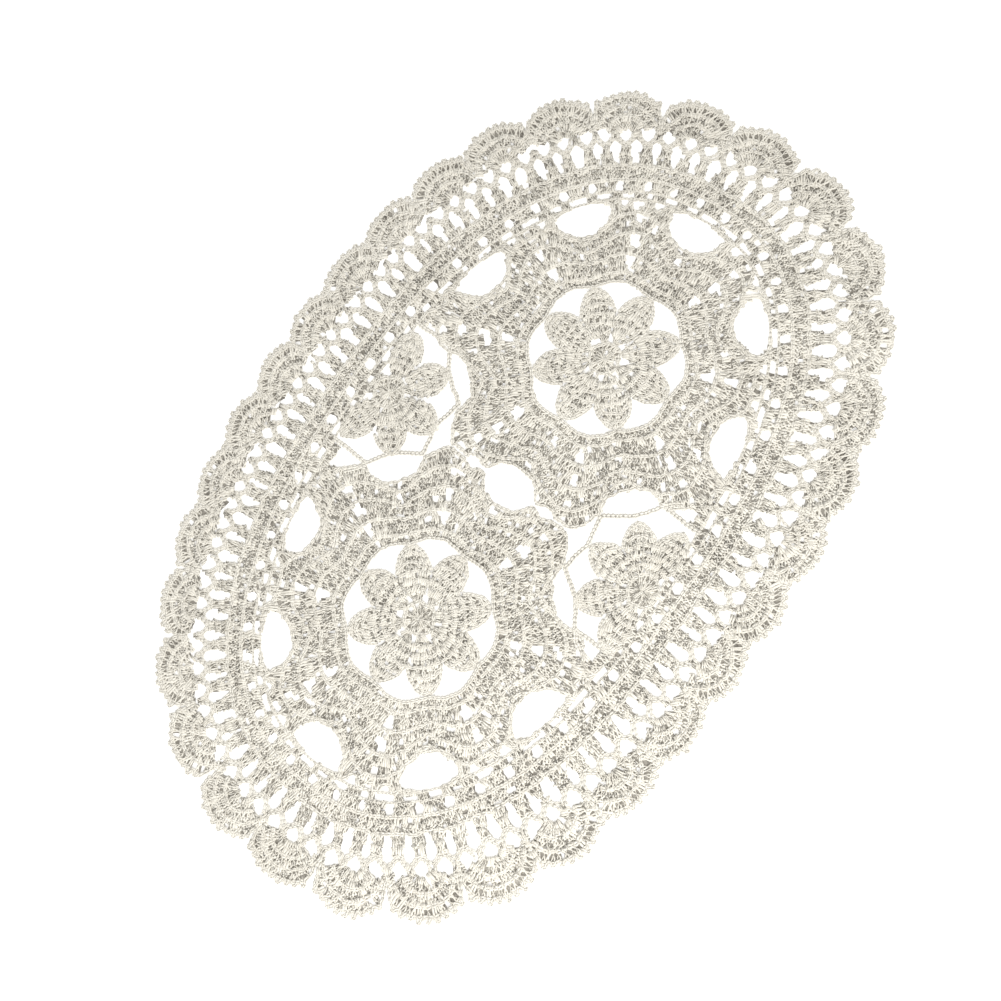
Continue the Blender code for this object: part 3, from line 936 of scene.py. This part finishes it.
# The tall groups, one under each arch: how far they stray, as a share of an arch, and how full
# they are from and to.  Then, for their lower and their upper half, the depths of the foot and
# the head, the half width there as shares of an arch, and the stitches.
GROUP_HAND = 0.04
GROUP_FULL = (0.82, 1.14)
LOWER_DEPTHS, LOWER_HALVES, LOWER_STITCHES = (0.0366, 0.0314), (0.37, 0.28), 4
UPPER_DEPTHS, UPPER_HALF, UPPER_STITCHES = (0.0318, 0.0276), 0.23, 3
UPPER_FOOT_SPREAD = 1.1
ARCH_CORDS = (
    # lift, depths, places from the middle of the group as shares of an arch
    (0.0010, (0.0272, 0.0254, 0.0240), (0.16, 0.33, 0.50)),
    (0.0012, (0.0268, 0.0248, 0.0230, 0.0210), (0.02, 0.20, 0.37, 0.36)),
)
ARCH_CORD_SPREAD = 0.85
# The short stitches where two arches meet.
JOINT_DEPTHS = (0.0242, 0.0198)
JOINT_HALF = 0.12
JOINT_STITCHES = 2

angles = np.linspace(0, math.tau, FRAME_STEPS + 1)
unit = np.stack([np.cos(angles), np.sin(angles)], axis=1)
unit = np.sign(unit) * np.abs(unit) ** (2 / FULLNESS)
halves = np.array([LENGTH / 2 - BORDER_DEPTH, WIDTH / 2 - BORDER_DEPTH])
oval = unit * halves
outwards = np.sign(unit) * np.abs(unit) ** (FULLNESS - 1) / halves
outwards /= np.linalg.norm(outwards, axis=1)[:, None]
even = oval + outwards * (BORDER_DEPTH - EVEN_DEPTH)
running = np.concatenate([[0.0], np.cumsum(np.linalg.norm(np.diff(even, axis=0), axis=1))])


def on_round(depth, turn):
    """Points of the border at a depth, at a share of the way round from the +X end."""
    depth, turn = np.broadcast_arrays(np.asarray(depth, float), np.asarray(turn, float))
    ahead = (LEAD + LEAD_AT_END * np.cos(math.tau * turn)) / REPEATS
    turn = turn + np.where(depth < LED_ROUNDS, ahead, 0.0)
    place = (turn % 1) * running[-1]
    spot = np.stack([np.interp(place, running, axis) for axis in oval.T], axis=-1)
    normal = np.stack([np.interp(place, running, axis) for axis in outwards.T], axis=-1)
    normal /= np.linalg.norm(normal, axis=-1)[..., None]
    return spot + normal * (BORDER_DEPTH - depth)[..., None]


def full_round(depth, count):
    """A number of points all the way round the border at a depth."""
    return on_round(depth, np.arange(count) / count)


def solid_round():
    """The edge cords, the eyelets and the solid round, as a list of laid stitches."""
    work = []
    for depth in EDGE_DEPTHS:
        chain(
            work, full_round(depth, EDGE_LOOPS), closed=True, spread=EDGE_SPREAD, lift=EDGE_LIFT
        )
    for k in range(JOINS):
        middle = k + JOIN_LEAD + fingers.uniform(-JOIN_HAND, JOIN_HAND)
        beside_motif = abs(on_round(JOIN_MIDDLE_DEPTH, middle / JOINS)[0]) < BESIDE_MOTIF
        half = fingers.uniform(*(WIDE_JOIN_HALF if beside_motif else JOIN_HALF))
        turns = (middle + half * np.linspace(-1, 1, JOIN_STITCHES + 1)) / JOINS
        foot, head = (on_round(depth, turns) for depth in JOIN_DEPTHS)
        row(work, foot, head, topped=False, grip=SMALL_GRIP)
    for k in range(EYELETS):
        foot, waist, head = (
            on_round(depth, (k + np.linspace(-half, half, EYELET_STITCHES + 1)) / EYELETS)
            for depth, half in EYELET_LINES
        )
        row(work, foot, waist, topped=False, swell=BORDER_SWELL, grip=SMALL_GRIP)
        row(work, waist, head, topped=False, swell=BORDER_SWELL, grip=SMALL_GRIP)
    chain(work, full_round(CORD_DEPTH, CORD_LOOPS), closed=True, spread=CORD_SPREAD)
    foot, head = (full_round(depth, SOLID_STITCHES) for depth in SOLID_DEPTHS)
    row(work, foot, head, closed=True, swell=SOLID_SWELL)
    return work


def ladder_round():
    """The tall groups and the chain arches over them, as a list of laid stitches."""
    work = []
    for k in range(ARCHES):
        middle = (k + 0.5 + fingers.normal(0.0, GROUP_HAND)) / ARCHES
        full = fingers.uniform(*GROUP_FULL)
        foot, knee = (np.linspace(-half, half, LOWER_STITCHES + 1) for half in LOWER_HALVES)
        shoulder = full * np.linspace(-UPPER_HALF, UPPER_HALF, UPPER_STITCHES + 1) / ARCHES
        row(
            work, on_round(LOWER_DEPTHS[0], middle + foot / ARCHES),
            on_round(LOWER_DEPTHS[1], middle + full * knee / ARCHES),
            topped=False, swell=BORDER_SWELL,
        )
        row(
            work, on_round(UPPER_DEPTHS[0], middle + shoulder * UPPER_FOOT_SPREAD),
            on_round(UPPER_DEPTHS[1], middle + shoulder), swell=BORDER_SWELL,
        )
        for side in (1, -1):
            for lift, depths, places in ARCH_CORDS:
                path = on_round(depths, middle + side * np.array(places) / ARCHES)
                cord(work, path, spread=ARCH_CORD_SPREAD, lift=lift)
        turns = (k + np.linspace(-JOINT_HALF, JOINT_HALF, JOINT_STITCHES + 1)) / ARCHES
        foot, head = (on_round(depth, turns) for depth in JOINT_DEPTHS)
        row(work, foot, head, topped=False, grip=SMALL_GRIP)
    return work


worked("solid_round", solid_round())
worked("ladder_round", ladder_round())

# ----------------------------------------------------------------------
# Scallops.
# Each is a fan of three rows of stitches worked round the hole of every third arch, with an edge
# of chain over it that makes nine picots.
# ----------------------------------------------------------------------
FAN_DEPTH = 0.0215
FAN_HOLE_DEPTH = 0.0228
FAN_HOLE_RADIUS = 0.0041
# The rows bend round the hole's centre at first and, this much further out, the scallop's own.
FAN_EASE = 0.011
FLATNESS = 0.0015
FLAT_LEAN = 60
FLAT_LIMIT = 1.2
SCALLOP_ROWS = (
    # inner radius, outer radius, stitches, half the angle, flatness, crossed stitches, grip
    (FAN_HOLE_RADIUS, 0.0103, 16, 104, 0.0, 0.6, 0.0),
    (0.0100, 0.0152, 18, 98, 0.0, 0.85, GRIP),
    (0.0149, 0.0195, 24, 90, FLATNESS, 0.85, GRIP),
)
# How far a scallop runs over the line halfway to the next, and the least sine that its reach to
# that line is worked out with.
OVERLAP = 0.0003
LEAST_SINE = 0.05
# A stitch is kept where this share of it is on its own side of that line, and where it stays
# clear of the holes of the arches beside the fan.
KEPT_SHARE = 0.3
HOLE_CLEARANCES = (
    # share of the stitch, least distance from the middle of a hole
    (0.25, 0.0046),
    (0.6, 0.0046),
    (0.9, 0.0041),
)
PICOTS = 9
PICOT_BASE = 0.0188
PICOT_HEIGHT = 0.0033
PICOT_HAND = (0.65, 1.12)
PICOT_STEPS = np.array([0.0, 0.32, 0.5, 0.68])
PICOT_RISE = np.array([0.0, 0.8, 1.0, 0.8])
PICOT_LIFT = 0.0011
# The edges of two scallops meet this much nearer to their centres than the fan's depth.
PICOT_MEET = 0.0008


def flattening(lean, size):
    """How much further out a scallop reaches at an angle from its middle, as it is flattened."""
    return size * np.minimum(np.abs(lean) / FLAT_LEAN, FLAT_LIMIT) ** 2


def scallops(numbers):
    """A run of scallops, as a list of laid stitches."""
    work = []
    middles = (np.arange(REPEATS) + 0.5) / REPEATS
    centres = on_round(FAN_DEPTH, middles)
    holes = on_round(FAN_HOLE_DEPTH, middles)
    tips = on_round(0.0, middles)
    for k in numbers:
        centre, tip, hole = centres[k], tips[k], holes[k]
        beside = on_round(FAN_HOLE_DEPTH, middles[k] + np.array([-1, 1]) / ARCHES)
        outward = math.degrees(math.atan2(tip[1] - centre[1], tip[0] - centre[0]))
        halfway = [np.linalg.norm(centres[(k + s) % REPEATS] - centre) / 2 for s in (-1, 1)]

        def spot(radius, lean):
            reach = np.where(lean < 0, halfway[0], halfway[1]) + OVERLAP
            reach = reach / np.maximum(np.abs(np.sin(np.radians(lean))), LEAST_SINE)
            share = np.clip((radius - FAN_HOLE_RADIUS) / FAN_EASE, 0, 1)
            middle = hole + np.multiply.outer(share, centre - hole)
            return middle + polar((0.0, 0.0), np.minimum(radius, reach), outward + lean)

        for inner, outer, count, half, flat, crossed, grip in SCALLOP_ROWS:
            lean = np.linspace(-half, half, count + 1)
            middle_lean = (lean[1:] + lean[:-1]) / 2
            limit = np.where(middle_lean < 0, halfway[0], halfway[1])
            room = limit / np.abs(np.sin(np.radians(middle_lean)))
            keep = room > inner + KEPT_SHARE * (outer - inner)
            for share, clearance in HOLE_CLEARANCES:
                along = spot(inner + share * (outer - inner), middle_lean)
                for arch in beside:
                    keep &= np.linalg.norm(along - arch, axis=1) > clearance
            row(
                work, spot(inner, lean), spot(outer + flattening(lean, flat), lean), keep=keep,
                topped=keep, swell=BORDER_SWELL, crossed=crossed, grip=grip,
            )
        edge = [math.degrees(math.asin(h / (FAN_DEPTH - PICOT_MEET))) for h in halfway]
        steps = (np.arange(PICOTS)[:, None] + PICOT_STEPS).ravel() / PICOTS
        picots = np.append(steps, 1.0) * sum(edge) - edge[0]
        tall = PICOT_HEIGHT * fingers.uniform(*PICOT_HAND, (PICOTS, 1))
        radius = PICOT_BASE + np.append((tall * PICOT_RISE).ravel(), 0.0)
        radius = radius + flattening(picots, FLATNESS)
        chain(work, polar(centre, radius, outward + picots), lift=PICOT_LIFT)
    return work


worked("far_scallops", scallops(range(0, REPEATS // 2)))
worked("near_scallops", scallops(range(REPEATS // 2, REPEATS)))

# ----------------------------------------------------------------------
# The web of painted shade.
# What shows between the strands, the backs of the loops in deep shade, is painted shade: one thin
# dark sheet of small patches, low among the strands, and open wherever the work is.
# ----------------------------------------------------------------------
# Painted shade: a dark cotton tone with darker flecks, standing in for the shadow deep between the
# strands.
SHADE_TONES = ((0.42, 0.395, 0.345, 1.0), (0.085, 0.075, 0.06, 1.0))
SHADE_WEB_THICKNESS = 0.00025
MERGE_WITHIN = 0.000002

shade = yarn_material("shaded cotton yarn", *SHADE_TONES)
patches = np.concatenate(shade_web).reshape(-1, 3)
shade_sheet_mesh = bpy.data.meshes.new("painted_shade_web")
shade_sheet_mesh.from_pydata(patches, [], np.arange(len(patches)).reshape(-1, 4))
shade_sheet = bpy.data.objects.new("painted_shade_web", shade_sheet_mesh)
bpy.context.scene.collection.objects.link(shade_sheet)
bpy.ops.object.select_all(action="DESELECT")
shade_sheet.select_set(True)
bpy.context.view_layer.objects.active = shade_sheet
bpy.ops.object.mode_set(mode="EDIT")
bpy.ops.mesh.select_all(action="SELECT")
bpy.ops.mesh.remove_doubles(threshold=MERGE_WITHIN)
bpy.ops.mesh.normals_make_consistent(inside=False)
bpy.ops.object.mode_set(mode="OBJECT")
wall = shade_sheet.modifiers.new("wall", "SOLIDIFY")
wall.thickness = SHADE_WEB_THICKNESS
wall.offset = 0.0
bpy.ops.object.modifier_apply(modifier="wall")
shade_sheet.data.materials.append(shade)
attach(shade_sheet, "root")
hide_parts("doily")
